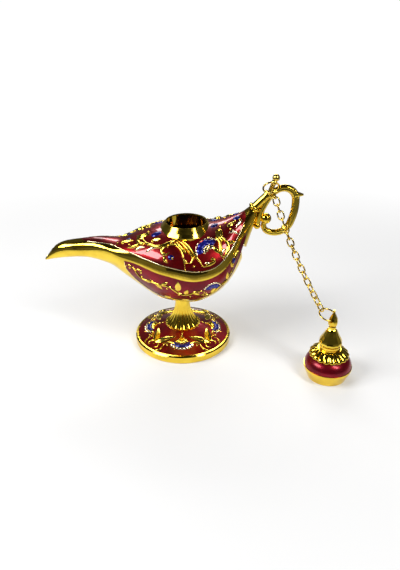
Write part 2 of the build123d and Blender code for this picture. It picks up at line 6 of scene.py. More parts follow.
import bmesh
import bpy
import numpy as np
from mathutils import Matrix, Vector
from mathutils.bvhtree import BVHTree

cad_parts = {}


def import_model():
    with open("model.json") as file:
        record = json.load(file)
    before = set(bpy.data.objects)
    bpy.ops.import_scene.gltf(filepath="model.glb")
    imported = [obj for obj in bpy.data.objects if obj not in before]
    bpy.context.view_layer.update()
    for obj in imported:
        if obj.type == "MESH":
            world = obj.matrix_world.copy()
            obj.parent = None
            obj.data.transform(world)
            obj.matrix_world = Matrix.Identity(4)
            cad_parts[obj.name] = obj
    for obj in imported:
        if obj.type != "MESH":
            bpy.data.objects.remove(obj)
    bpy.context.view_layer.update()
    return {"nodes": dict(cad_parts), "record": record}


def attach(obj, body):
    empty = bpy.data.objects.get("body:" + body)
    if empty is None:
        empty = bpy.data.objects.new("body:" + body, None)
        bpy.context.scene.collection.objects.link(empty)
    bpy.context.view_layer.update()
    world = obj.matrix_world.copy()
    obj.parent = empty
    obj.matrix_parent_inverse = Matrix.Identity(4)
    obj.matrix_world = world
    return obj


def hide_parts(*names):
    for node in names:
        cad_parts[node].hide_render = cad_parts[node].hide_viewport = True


MM = 0.001
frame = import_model()
nodes = frame["nodes"]

# Camera fitted to the photograph
camera_place = (8.55, -240.9, 159.5)
camera_pitch = 28.36
camera_lens = 51.22

# Grain of the surfaces per metre, and depth of their ripples
tone_scale, haze_scale, ripple_scale = 160, 900, 260
cloud_scale, fleck_scale, peel_scale = 120, 2400, 420
ripple_depth, peel_depth = 0.12, 0.10
enamel_rough = (0.22, 0.42)
steel_rough = (0.25, 0.40)

# Spine that the angles on the body are measured round: places along x and heights
spine_places = [(-64, 43.5), (-45, 50.5), (-30, 47.5), (-15, 45.0), (3, 44.0), (15, 46.5),
                (22, 50.5), (28, 58.0), (33, 66.0)]
body_reach = 40.0
foot_reach = 12.0
sink = 0.12
drop_lift, drop_reach = 3.0, 8.0
crease_angle = 50.0


# Materials


def new_material(name):
    """Empty node material with its shader and output."""
    material = bpy.data.materials.new(name)
    material.use_nodes = True
    tree = material.node_tree
    shader = tree.nodes["Principled BSDF"]
    return material, tree, shader


def noise(tree, scale, detail=3.0, roughness=0.5, stretch=(1, 1, 1)):
    """Noise in object space at a scale per metre."""
    place = tree.nodes.new("ShaderNodeTexCoord")
    mapping = tree.nodes.new("ShaderNodeMapping")
    mapping.inputs["Scale"].default_value = stretch
    texture = tree.nodes.new("ShaderNodeTexNoise")
    texture.inputs["Scale"].default_value = scale
    texture.inputs["Detail"].default_value = detail
    texture.inputs["Roughness"].default_value = roughness
    tree.links.new(place.outputs["Object"], mapping.inputs["Vector"])
    tree.links.new(mapping.outputs["Vector"], texture.inputs["Vector"])
    return texture


def ramp(tree, source, stops):
    """Colour ramp with the given places and colours."""
    node = tree.nodes.new("ShaderNodeValToRGB")
    elements = node.color_ramp.elements
    while len(elements) < len(stops):
        elements.new(0.5)
    for element, (place, colour) in zip(elements, stops):
        element.position = place
        element.color = (*colour, 1)
    tree.links.new(source, node.inputs["Fac"])
    return node


def spread(tree, source, low, high):
    """Map a value from 0..1 to low..high."""
    node = tree.nodes.new("ShaderNodeMapRange")
    node.inputs["To Min"].default_value = low
    node.inputs["To Max"].default_value = high
    tree.links.new(source, node.inputs["Value"])
    return node


def bump(tree, shader, source, strength, distance):
    """Bump from a height."""
    node = tree.nodes.new("ShaderNodeBump")
    node.inputs["Strength"].default_value = strength
    node.inputs["Distance"].default_value = distance
    tree.links.new(source, node.inputs["Height"])
    tree.links.new(node.outputs["Normal"], shader.inputs["Normal"])
    return node


def gold(name, colour, deep, rough_low, rough_high, ripple=0.25):
    """Polished gold plate: slight change of tone, fine polish haze and casting ripple."""
    material, tree, shader = new_material(name)
    tone = noise(tree, tone_scale, 4)
    shade = ramp(tree, tone.outputs["Fac"], [(0.35, deep), (0.62, colour)])
    tree.links.new(shade.outputs["Color"], shader.inputs["Base Color"])
    shader.inputs["Metallic"].default_value = 1.0
    haze = noise(tree, haze_scale, 5, 0.6)
    rough = spread(tree, haze.outputs["Fac"], rough_low, rough_high)
    tree.links.new(rough.outputs["Result"], shader.inputs["Roughness"])
    waves = noise(tree, ripple_scale, 2)
    bump(tree, shader, waves.outputs["Fac"], ripple, ripple_depth * MM)
    return material


def enamel(name, deep, bright, metallic, coat=1.0):
    """Hard glossy enamel over foil: deep colour that lights up, and a clear coat."""
    material, tree, shader = new_material(name)
    cloud = noise(tree, cloud_scale, 4)
    shade = ramp(tree, cloud.outputs["Fac"], [(0.34, deep), (0.68, bright)])
    tree.links.new(shade.outputs["Color"], shader.inputs["Base Color"])
    shader.inputs["Metallic"].default_value = metallic
    fleck = noise(tree, fleck_scale, 3, 0.7)
    rough = spread(tree, fleck.outputs["Fac"], *enamel_rough)
    tree.links.new(rough.outputs["Result"], shader.inputs["Roughness"])
    shader.inputs["Coat Weight"].default_value = coat
    shader.inputs["Coat Roughness"].default_value = 0.03
    shader.inputs["Coat IOR"].default_value = 1.55
    orange_peel = noise(tree, peel_scale, 2)
    node = bump(tree, shader, orange_peel.outputs["Fac"], 0.22, peel_depth * MM)
    tree.links.new(node.outputs["Normal"], shader.inputs["Coat Normal"])
    return material


def steel(name):
    """Turned steel: fine rings and a dull shine."""
    material, tree, shader = new_material(name)
    rings = noise(tree, haze_scale, 3, 0.5, (1, 1, 12))
    shade = ramp(tree, rings.outputs["Fac"],
                 [(0.3, (0.42, 0.42, 0.44)), (0.7, (0.62, 0.62, 0.64))])
    tree.links.new(shade.outputs["Color"], shader.inputs["Base Color"])
    shader.inputs["Metallic"].default_value = 1.0
    rough = spread(tree, rings.outputs["Fac"], *steel_rough)
    tree.links.new(rough.outputs["Result"], shader.inputs["Roughness"])
    return material


cast_gold = gold("cast_gold", (0.95, 0.68, 0.075), (0.82, 0.55, 0.05), 0.06, 0.14)
chain_gold = gold("chain_gold", (0.96, 0.72, 0.15), (0.85, 0.60, 0.10), 0.10, 0.20)
relief_gold = gold("relief_gold", (1.0, 0.74, 0.12), (0.86, 0.58, 0.06), 0.10, 0.22, 0.5)
# Paler gold: on the ornament's pale strokes and fans it is a painted highlight standing in for
# glints; on the enamel wires it is the wires' paler gold.
pale_gold_and_painted_glint = gold("pale_gold_and_painted_glint", (1.0, 0.90, 0.62), (0.95, 0.78, 0.40), 0.08, 0.18, 0.5)
ruby_enamel = enamel("ruby_enamel", (0.12, 0.0006, 0.002), (0.36, 0.002, 0.005), 0.8, 0.7)
crimson_enamel = enamel("crimson_enamel", (0.15, 0.001, 0.008), (0.30, 0.002, 0.014), 0.75, 0.2)
blue_enamel = enamel("blue_enamel", (0.002, 0.003, 0.10), (0.004, 0.008, 0.34), 0.6, 0.7)
screw_steel = steel("screw_steel")

slot_materials = {"cast_gold": cast_gold, "chain_gold": chain_gold, "ruby_enamel": ruby_enamel,
                  "crimson_enamel": crimson_enamel, "screw_steel": screw_steel}
for entry in frame["record"]["subparts"]:
    node = nodes[entry["node"]]
    node.data.materials.clear()
    node.data.materials.append(slot_materials[entry["material_slot"]])


# Surfaces that the ornament lies on


def tree_of(names):
    """Ray tree over some CAD nodes."""
    verts, faces = [], []
    for name in names:
        mesh = nodes[name].data
        start = len(verts)
        verts += [v.co.copy() for v in mesh.vertices]
        faces += [[start + i for i in p.vertices] for p in mesh.polygons]
    return BVHTree.FromPolygons(verts, faces)


body_tree = tree_of(["upper_shell", "upper_enamel", "front_enamel", "back_enamel", "lower_bowl",
                     "collar"])
foot_tree = tree_of(["foot_plate", "foot_enamel"])


def body_skin(place, angle):
    """Point of the body at a place along x and an angle from the top round the spine."""
    xs, zs = zip(*spine_places)
    centre = Vector((place, 0, float(np.interp(place, xs, zs)))) * MM
    out = Vector((0, -sin(radians(angle)), cos(radians(angle))))
    hit = body_tree.ray_cast(centre + out * body_reach * MM, -out)[0]
    return hit if hit is not None else centre


def foot_skin(radius, angle):
    """Point of the foot's field at a radius and a bearing."""
    start = Vector((radius * cos(radians(angle)), radius * sin(radians(angle)), foot_reach)) * MM
    return foot_tree.ray_cast(start, Vector((0, 0, -1)))[0]


class Skin:
    """A surface with its way in and its steps for slopes."""

    def __init__(self, tree, at, steps):
        self.tree, self.at, self.steps = tree, at, steps

    def normal(self, u, v):
        du, dv = self.steps
        along = self.at(u + du, v) - self.at(u - du, v)
        across = self.at(u, v + dv) - self.at(u, v - dv)
        normal = along.cross(across).normalized()
        return -normal if normal.dot(self.outward(u, v)) < 0 else normal

    def outward(self, u, v):
        if self.at is foot_skin:
            return Vector((0, 0, 1))
        return Vector((0, -sin(radians(v)), cos(radians(v))))

    def drop(self, point, normal):
        """Nearest point of the surface under a point off it."""
        hit = self.tree.ray_cast(point + normal * drop_lift * MM, -normal, drop_reach * MM)[0]
        return hit if hit is not None else point


body = Skin(body_tree, body_skin, (0.8, 3.0))
foot = Skin(foot_tree, foot_skin, (0.6, 3.0))


def smooth_path(points, steps=7):
    """Catmull-Rom line through the points."""
    ends = [tuple(2 * a - b for a, b in zip(points[0], points[1]))]
    tail = [tuple(2 * a - b for a, b in zip(points[-1], points[-2]))]
    full = [np.array(p, float) for p in ends + list(points) + tail]
    line = []
    for k in range(1, len(full) - 2):
        a, b, c, d = full[k - 1:k + 3]
        for step in range(steps):
            t = step / steps
            line.append(0.5 * (2 * b + (c - a) * t + (2 * a - 5 * b + 4 * c - d) * t * t
                               + (3 * b - a - 3 * c + d) * t ** 3))
    line.append(full[-2])
    return line


def stroke(mesh, skin, points, width, height, start=0.35, end=0.2, sides=6):
    """Raised rounded line on a surface, thinner at its ends."""
    line = smooth_path(points)
    spots = [skin.at(*p) for p in line]
    normals = [skin.normal(*p) for p in line]
    count = len(line)
    rows = []
    for k, (spot, normal) in enumerate(zip(spots, normals)):
        ahead = spots[min(k + 1, count - 1)] - spots[max(k - 1, 0)]
        across = normal.cross(ahead).normalized()
        share = k / (count - 1)
        swell = min(1, start + (1 - start) * share * 4, end + (1 - end) * (1 - share) * 3)
        half, tall = width / 2 * swell * MM, height * (0.4 + 0.6 * swell) * MM
        rows.append([mesh.verts.new(spot + across * half * cos(pi * s / sides)
                                    + normal * (tall * sin(pi * s / sides) - sink * MM))
                     for s in range(sides + 1)])
    skin_rows(mesh, rows)


def skin_rows(mesh, rows):
    """Faces between rows of vertices, closed below and at both ends."""
    for one, two in zip(rows, rows[1:]):
        for s in range(len(one) - 1):
            mesh.faces.new((one[s], one[s + 1], two[s + 1], two[s]))
        mesh.faces.new((one[-1], one[0], two[0], two[-1]))
    mesh.faces.new(rows[0][::-1])
    mesh.faces.new(rows[-1])


def local_frame(skin, u, v, turn=0.0):
    """Origin, two tangents in real sizes and the normal at a spot of the surface."""
    origin, normal = skin.at(u, v), skin.normal(u, v)
    along = skin.at(u + skin.steps[0], v) - origin
    along = (along - normal * along.dot(normal)).normalized()
    along = Matrix.Rotation(radians(turn), 3, normal) @ along
    return origin, along, normal.cross(along), normal


def on_skin(skin, spot, x, y, lift):
    """Point of the surface at x, y in a local frame, lifted off it."""
    origin, along, across, normal = spot
    return skin.drop(origin + (along * x + across * y) * MM, normal) + normal * (lift - sink) * MM


def leaf(mesh, skin, spot, length, width, height=0.5, bend=0.0, veins=5, reach=14, half=5):
    """Pointed leaf with a midrib and slanting veins, growing along the frame's first tangent."""
    rows = []
    for i in range(reach + 1):
        u = i / reach
        spread_here = sin(pi * min(1, 0.06 + 0.94 * u) ** 0.75) ** 0.8 if u < 1 else 0.02
        row = []
        for j in range(-half, half + 1):
            v = j / half
            arch = (1 - v * v) ** 0.5
            vein = 1 - 0.35 * abs(sin(pi * veins * (u - 0.25 * abs(v))))
            rib = 0.25 * height * (1 - min(1, abs(v) * 3))
            lift = (height * arch * vein + rib) * (0.35 + 0.65 * spread_here)
            side = width / 2 * spread_here * v + bend * length * u * u
            row.append(mesh.verts.new(on_skin(skin, spot, length * u, side, lift)))
        rows.append(row)
    skin_rows(mesh, rows)


def fan(mesh, skin, spot, inner, outer, open_angle, height, ribs, scallop=0.0, steps=6):
    """Ribbed sector between two radii, opening along the frame's first tangent."""
    rows = []
    columns = ribs * 6
    for j in range(columns + 1):
        turn = radians(open_angle) * (j / columns - 0.5)
        rib = abs(cos(pi * ribs * j / columns))
        rim = outer * (1 - scallop * (1 - abs(sin(pi * ribs * j / columns))))
        row = []
        for i in range(steps + 1):
            radius = inner + (rim - inner) * i / steps
            edge = (1 - (2 * i / steps - 1) ** 4) ** 0.5
            lift = height * edge * (0.55 + 0.45 * (1 - rib))
            row.append(mesh.verts.new(on_skin(skin, spot, radius * cos(turn), radius * sin(turn),
                                              lift)))
        rows.append(row)
    skin_rows(mesh, rows)


def bead(mesh, skin, u, v, radius, height=None, stretch=1.0, turn=0.0, rings=4, sides=12):
    """Low round or oval boss."""
    spot = local_frame(skin, u, v, turn)
    height = height or radius * 0.75
    top = mesh.verts.new(on_skin(skin, spot, 0, 0, height))
    last = [top] * sides
    for i in range(1, rings + 1):
        lean = pi / 2 * i / rings
        row = []
        for k in range(sides):
            a = 2 * pi * k / sides
            row.append(mesh.verts.new(on_skin(skin, spot, radius * stretch * sin(lean) * cos(a),
                                              radius * sin(lean) * sin(a), height * cos(lean))))
        for k in range(sides):
            n = (k + 1) % sides
            corners = (last[k], row[k], row[n]) if i == 1 else (last[k], row[k], row[n], last[n])
            mesh.faces.new(corners)
        last = row
    mesh.faces.new(last[::-1])


def finish_piece(name, mesh, material, body_name, smooth=True):
    """Turn built geometry into a named piece that rides on a body."""
    bmesh.ops.recalc_face_normals(mesh, faces=mesh.faces)
    data = bpy.data.meshes.new(name)
    mesh.to_mesh(data)
    mesh.free()
    if smooth:
        data.polygons.foreach_set("use_smooth", [True] * len(data.polygons))
        data.set_sharp_from_angle(angle=radians(crease_angle))
    data.materials.append(material)
    piece = bpy.data.objects.new(name, data)
    bpy.context.scene.collection.objects.link(piece)
    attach(piece, body_name)
    return piece


# Ornament of the dome, drawn for one side and mirrored: places along x and angles from the top.
# Leaves have a turn, length, width and bend too; blue spots two half sizes and a turn.
plume_lines = [
    [(0.3, 41), (2.3, 46), (4.5, 54), (6.8, 65), (8.4, 72), (10.0, 79)],
    [(-1.0, 43), (1.3, 48), (3.3, 55), (4.9, 63), (5.5, 67), (4.6, 71), (3.4, 71)],
    [(-1.9, 44), (0.1, 51), (1.9, 57), (2.7, 60)],
    [(-2.4, 46), (-1.0, 51), (0.6, 56)],
    [(-5.6, 53), (-4.9, 49), (-2.6, 48), (-0.6, 53), (0.9, 59), (1.4, 66), (1.9, 73), (2.3, 79)],
]
stem_lines = [
    [(0.3, 41), (-2.0, 41), (-4.3, 45), (-6.4, 48), (-8.8, 51), (-11.1, 51), (-13.6, 47),
     (-15.4, 43), (-16.7, 34), (-16.0, 23)],
    [(-15.4, 43), (-17.6, 44), (-19.3, 36), (-18.2, 20), (-15.9, 19)],
    [(-5.8, 50), (-7.5, 53), (-8.1, 57), (-7.5, 61), (-6.2, 62), (-4.7, 59)],
    [(-7.2, 64), (-6.7, 68), (-5.5, 72)],
    [(1.4, 66), (2.2, 69), (3.4, 71)],
    [(10.0, 79), (12.6, 78), (14.6, 76), (14.2, 72), (13.0, 73)],
    [(15.3, 31), (17.0, 29), (17.9, 35), (17.9, 44), (16.9, 50)],
    [(15.6, 34), (16.1, 44), (17.3, 53), (17.5, 62), (17.5, 71), (19.0, 78)],
    [(17.9, 44), (19.8, 54), (21.0, 66), (20.2, 75), (18.2, 79)],
    [(-24.0, 52), (-21.0, 50), (-19.0, 46), (-17.6, 44)],
]
# Pale gold strokes laid where glints show on the dome: painted highlights, not pale metal.
painted_glint_lines = [
    [(-15.2, 60), (-13.9, 56), (-12.2, 53), (-10.0, 53)],
    [(-20.5, 57), (-19.1, 55), (-17.6, 51), (-15.7, 52)],
    [(21.2, 41), (23.1, 43), (24.6, 52), (25.6, 61)],
    [(24.6, 39), (25.9, 31), (27.5, 31)],
    [(10.7, 75), (12.0, 76), (13.2, 80)],
    [(17.6, 75), (18.6, 67), (20.1, 70)],
]
dome_leaves = [
    (16.6, 28, -95, 6.5, 3.4, 0.10), (-17.0, 30, 150, 5.5, 2.6, -0.15),
    (-14.0, 20, 185, 5.0, 2.4, 0.12), (-22.5, 30, 175, 5.5, 2.2, 0.10),
    (20.5, 26, 15, 4.6, 2.2, 0.12), (14.6, 57, -60, 4.2, 2.4, 0.0),
    (-9.0, 40, 165, 4.4, 2.2, 0.15), (20.8, 58, -30, 3.8, 2.0, 0.2),
]
dome_beads = [(-23.2, 44), (-19.2, 50), (-17.7, 18), (-14.7, 12), (-21.9, 32), (-26.5, 38),
              (-12.6, 42), (17.6, 20), (19.8, 14), (22.6, 24), (24.2, 20), (22.0, 34),
              (26.4, 22), (-29.0, 34), (-3.4, 66), (6.0, 76), (12.2, 40)]
blue_spots = [(-11.0, 25, 2.6, 1.7, 20), (-4.1, 65, 1.5, 1.2, 0), (14.9, 12, 2.1, 1.5, 30),
              (24.8, 12, 1.7, 1.4, 0), (-24.2, 22, 1.4, 1.3, 0)]
plume_width, plume_thinning, plume_height = 1.4, 0.06, 1.0
stem_width, stem_height = 1.65, 0.95
# Sizes of the painted highlight strokes.
glint_width, glint_height, glint_start, glint_end = 1.5, 0.7, 0.2, 0.15
dome_leaf_height = 0.7
dome_bead_radius, dome_bead_height = 0.55, 0.6
blue_height = 0.55
# Shell on the dome: place, bearing and turn, then each rib ring's two radii, opening, height,
# ribs and scallop
shell_place, shell_bearing, shell_turn = 12.6, 60, 118
shell_blue = (2.6, 5.6, 150, 0.75, 4, 0.06)
# The shell's heart and rim are pale gold fans: painted highlights.
shell_heart = (0.4, 2.9, 190, 0.9, 5, 0.12)
shell_rim = (5.5, 6.3, 150, 0.6, 9, 0.05)

# Side of the bowl: vine, its curls, leaves and fans
vine_lines = [
    [(-25.1, 101), (-24.0, 91), (-22.3, 90), (-20.7, 96), (-18.9, 105), (-16.4, 107), (-13.3, 104),
     (-10.2, 103), (-7.4, 103), (-5.0, 103), (-3.2, 107), (-1.1, 112), (1.5, 114), (4.2, 112),
     (6.5, 109), (9.2, 110), (10.6, 114), (9.2, 118), (6.8, 117)],
    [(-20.2, 98), (-19.6, 92), (-18.0, 91), (-17.6, 96), (-18.8, 98)],
    [(9.2, 118), (12.0, 123), (14.8, 123), (17.4, 119), (20.0, 120), (22.4, 113), (24.2, 106)],
    [(24.2, 106), (25.6, 101), (25.0, 97), (23.6, 99)],
    [(-6.0, 128), (-2.0, 131), (3.0, 132), (8.0, 130), (12.0, 126)],
]
bowl_leaves = [
    (-1.2, 108, 92, 5.6, 3.0, 0.0), (-15.6, 107, 20, 4.2, 2.2, 0.2),
    (-11.2, 104, -25, 4.0, 2.2, -0.2), (-8.4, 103, 30, 3.6, 2.0, 0.2),
    (2.0, 113, 70, 3.6, 2.2, 0.1), (5.2, 110, -40, 3.6, 2.0, 0.0),
    (13.6, 122, 40, 4.0, 2.2, 0.2), (17.8, 119, -25, 4.2, 2.2, -0.1),
    (20.6, 119, 55, 4.0, 2.2, 0.1), (0.6, 130, 20, 3.4, 1.9, 0.1),
    (-4.6, 129, 160, 3.4, 1.9, 0.0), (23.0, 110, 60, 3.2, 1.8, 0.1),
]
bowl_beads = [(-22.9, 97), (-17.4, 103), (-6.0, 107), (-0.9, 116), (7.8, 113), (11.2, 118),
              (16.0, 124), (22.6, 117), (-8.8, 107), (4.2, 117)]
vine_width, vine_height, bowl_leaf_height = 0.85, 0.6, 0.65
bowl_bead_radius, bowl_bead_height = 0.5, 0.55
bowl_fan_place, bowl_fan_bearing, bowl_fan_turn = 14.0, 116, 70
bowl_fan_blue = (0.8, 4.0, 150, 0.55, 5, 0.05)
# The fan's pale gold rim is a painted highlight.
bowl_fan_rim = (3.9, 4.7, 150, 0.5, 9, 0.05)
bud_place, bud_bearing, bud_turn = 23.6, 103, 40
bud_radius, bud_height, bud_stretch = 1.2, 0.45, 1.3


def mirrored(points, side):
    """The same places on the front (1) or the back (-1)."""
    return [(x, angle * side) for x, angle in points]


def dome_ornament():
    """Gold and blue ornament of the red dome on both sides, with pale gold strokes and fans as
    painted highlights.
    """
    golds, painted_glints, blues = bmesh.new(), bmesh.new(), bmesh.new()
    for side in (1, -1):
        for number, line in enumerate(plume_lines):
            stroke(golds, body, mirrored(line, side),
                   plume_width - plume_thinning * number, plume_height)
        for line in stem_lines:
            stroke(golds, body, mirrored(line, side), stem_width, stem_height)
        for line in painted_glint_lines:
            stroke(painted_glints, body, mirrored(line, side), glint_width, glint_height, glint_start, glint_end)
        for x, angle, turn, length, width, bend in dome_leaves:
            spot = local_frame(body, x, angle * side, turn * side)
            leaf(golds, body, spot, length, width, dome_leaf_height, bend * side)
        for x, angle in dome_beads:
            bead(golds, body, x, angle * side, dome_bead_radius, dome_bead_height)
        for x, angle, long_half, wide_half, turn in blue_spots:
            bead(blues, body, x, angle * side, wide_half, blue_height, long_half / wide_half,
                 turn * side)
        spot = local_frame(body, shell_place, shell_bearing * side, shell_turn * side)
        fan(blues, body, spot, *shell_blue)
        fan(painted_glints, body, spot, *shell_heart)
        fan(painted_glints, body, spot, *shell_rim)
    finish_piece("dome_scrolls", golds, relief_gold, "lamp")
    finish_piece("dome_highlights", painted_glints, pale_gold_and_painted_glint, "lamp")
    finish_piece("dome_blue_enamel", blues, blue_enamel, "lamp")


def bowl_ornament():
    """Vine, leaves and blue fans on the crimson sides of the bowl; the fans' pale gold rims are
    painted highlights.
    """
    golds, blues, painted_glints = bmesh.new(), bmesh.new(), bmesh.new()
    for side in (1, -1):
        for line in vine_lines:
            stroke(golds, body, mirrored(line, side), vine_width, vine_height)
        for x, angle, turn, length, width, bend in bowl_leaves:
            spot = local_frame(body, x, angle * side, turn * side)
            leaf(golds, body, spot, length, width, bowl_leaf_height, bend * side)
        for x, angle in bowl_beads:
            bead(golds, body, x, angle * side, bowl_bead_radius, bowl_bead_height)
        spot = local_frame(body, bowl_fan_place, bowl_fan_bearing * side, bowl_fan_turn * side)
        fan(blues, body, spot, *bowl_fan_blue)
        fan(painted_glints, body, spot, *bowl_fan_rim)
        bead(blues, body, bud_place, bud_bearing * side, bud_radius, bud_height, bud_stretch,
             bud_turn * side)
    finish_piece("bowl_vine", golds, relief_gold, "lamp")
    finish_piece("bowl_blue_enamel", blues, blue_enamel, "lamp")
    finish_piece("bowl_highlights", painted_glints, pale_gold_and_painted_glint, "lamp")


# Borders of the enamels, in the lamp's middle plane: places along x and heights
upper_border = [(-49.5, 54.7), (-43.0, 53.5), (-35.0, 53.3), (-27.5, 52.2), (-20.7, 51.8),
                (-14.7, 51.1), (-8.8, 50.1), (-2.7, 49.0), (3.0, 47.9), (8.0, 47.5), (12.5, 48.0),
                (16.5, 49.4), (20.0, 52.1), (23.3, 55.9), (26.5, 60.4), (28.5, 64.0), (28.8, 66.8)]
lower_border = [(-25.4, 47.2), (-25.0, 44.3), (-22.0, 40.0), (-18.3, 36.8), (-12.5, 33.4),
                (-5.7, 31.2), (2.0, 30.2), (10.0, 31.5), (17.0, 35.5), (22.5, 42.0), (26.5, 50.0),
                (28.8, 56.5), (29.6, 59.3)]
wire_width, wire_height, wire_ends = 0.55, 0.38, 0.6


def side_skin(side):
    """Surface of the body reached from one side at a place along x and a height."""
    way = Vector((0, -side, 0))

    def at(x, z):
        start = Vector((x, 0, z)) * MM + way * body_reach * MM
        hit = body_tree.ray_cast(start, -way)[0]
        return hit if hit is not None else Vector((x, 0, z)) * MM

    return Skin(body_tree, at, (0.4, 0.4))


def enamel_borders():
    """Fine raised wires along the borders of the enamels."""
    wires = bmesh.new()
    for side in (1, -1):
        skin = side_skin(side)
        skin.outward = lambda u, v, side=side: Vector((0, -side, 0))
        for border in (upper_border[1:-1], lower_border):
            stroke(wires, skin, border, wire_width, wire_height, wire_ends, wire_ends)
    finish_piece("enamel_wires", wires, pale_gold_and_painted_glint, "lamp")


# Foot: pattern of one quarter, as radii and bearings from the quarter's middle
scroll_lines = [
    [(18.9, 29), (17.4, 29), (15.9, 24), (15.8, 18), (16.7, 12), (19.2, 11)],
    [(22.0, 36), (21.0, 31), (18.9, 29)],
    [(17.6, 46), (18.6, 52), (20.1, 53), (20.9, 49)],
]
scroll_width, scroll_height = 0.95, 0.6
foot_shell_radius = 12.0
foot_shell_gold = (0.2, 4.3, 100, 0.85, 5, 0.10)
foot_shell_blue = (4.2, 6.4, 104, 0.6, 4, 0.0)
# The shell's pale gold rim is a painted highlight.
foot_shell_rim = (6.3, 7.6, 106, 0.7, 9, 0.06)
shell_stalk = (9.2, 10.8)
stalk_width, stalk_height = 0.7, 0.4
# Beads: radius on the foot, bearing, own radius and height; the first is at the quarter's middle
shell_bead = (11.6, 0, 0.6, 0.7)
side_beads = [(19.0, 45, 0.6, 0.6), (17.6, 24, 0.5, 0.5)]
foot_leaf_radius, foot_leaf_bearing, foot_leaf_turn = 18.2, 44, 34
foot_leaf_length, foot_leaf_width, foot_leaf_height = 9.6, 3.7, 0.85
foot_leaf_bend, foot_leaf_veins = 0.05, 7


def foot_ornament():
    """Four shells, four pairs of leaves and the tendrils between them; the shells' pale gold rims
    are painted highlights.
    """
    golds, blues, painted_glints = bmesh.new(), bmesh.new(), bmesh.new()
    for quarter in range(4):
        middle = -90 + 90 * quarter
        shell = local_frame(foot, foot_shell_radius, middle)
        fan(golds, foot, shell, *foot_shell_gold)
        fan(blues, foot, shell, *foot_shell_blue)
        fan(painted_glints, foot, shell, *foot_shell_rim)
        radius, bearing, size, height = shell_bead
        bead(golds, foot, radius, middle + bearing, size, height)
        stroke(golds, foot, [(radius, middle) for radius in shell_stalk], stalk_width,
               stalk_height)
        for side in (1, -1):
            for line in scroll_lines:
                stroke(golds, foot, [(r, middle + a * side) for r, a in line], scroll_width,
                       scroll_height)
            spot = local_frame(foot, foot_leaf_radius, middle + foot_leaf_bearing * side,
                               180 + foot_leaf_turn * side)
            leaf(golds, foot, spot, foot_leaf_length, foot_leaf_width, foot_leaf_height,
                 foot_leaf_bend * side, foot_leaf_veins)
            for radius, bearing, size, height in side_beads:
                bead(golds, foot, radius, middle + bearing * side, size, height)
    finish_piece("foot_scrolls", golds, relief_gold, "lamp")
    finish_piece("foot_blue_enamel", blues, blue_enamel, "lamp")
    finish_piece("foot_highlights", painted_glints, pale_gold_and_painted_glint, "lamp")


# Handle scroll: the rod's path in the middle plane, as radii and turns of its arcs
toe = (34.5, 60.2)
rod_heading = 84.0
rod_arcs = [(30.0, 30.0), (9.0, 28.0), (5.4, 112.0), (26.0, 26.0), (7.4, 92.0), (3.4, 84.0)]
rod_half_width, rod_half_depth = 1.45, 1.75
ridge_depth, ridge_count = 0.16, 6
toe_ball, curl_ball, curl_lead = 1.6, 2.5, 2.2
spur_root, spur_tip = (50.5, 75.1), (54.4, 74.95)
spur_root_radius, spur_tip_radius = 1.7, 0.45
rod_thin_share, rod_sides = 0.72, 32
loop_start, loop_low = 48.5, 72.5
lobe_out, lobe_side, lobe_radius = 0.9, 0.75, 0.62


def arc_path(start, heading, arcs, step=4.0):
    """Points and headings along tangent arcs that all turn to the right."""
    x, z = start
    line = [(x, z, heading)]
    for radius, turn in arcs:
        count = max(2, round(turn / step))
        centre = (x + radius * cos(radians(heading - 90)), z + radius * sin(radians(heading - 90)))
        for k in range(1, count + 1):
            now = heading - turn * k / count
            line.append((centre[0] + radius * cos(radians(now + 90)),
                         centre[1] + radius * sin(radians(now + 90)), now))
        x, z, heading = line[-1]
    return line


def build_rod():
    """Ridged rod of the handle, slimmer at the toe and the curl."""
    mesh = bmesh.new()
    line = arc_path(toe, rod_heading, rod_arcs)
    sides, rows = rod_sides, []
    for k, (x, z, heading) in enumerate(line):
        share = k / (len(line) - 1)
        swell = rod_thin_share + (1 - rod_thin_share) * sin(pi * min(1, share * 1.15)) ** 0.6
        out = Vector((cos(radians(heading + 90)), 0, sin(radians(heading + 90))))
        side = Vector((0, 1, 0))
        row = []
        for s in range(sides):
            a = 2 * pi * s / sides
            ridge = swell * (1 - ridge_depth * (0.5 + 0.5 * cos(ridge_count * a)))
            wide, deep = rod_half_width * ridge, rod_half_depth * ridge
            row.append(mesh.verts.new(Vector((x, 0, z)) * MM
                                      + (side * wide * cos(a) + out * deep * sin(a)) * MM))
        rows.append(row)
    for one, two in zip(rows, rows[1:]):
        for s in range(sides):
            n = (s + 1) % sides
            mesh.faces.new((one[s], one[n], two[n], two[s]))
    mesh.faces.new(rows[0][::-1])
    mesh.faces.new(rows[-1])
    return mesh, line


def add_ball(mesh, centre, radius):
    """Ball with a fine mesh."""
    place = Matrix.Translation(Vector(centre) * MM)
    bmesh.ops.create_uvsphere(mesh, u_segments=32, v_segments=20, radius=radius * MM, matrix=place)


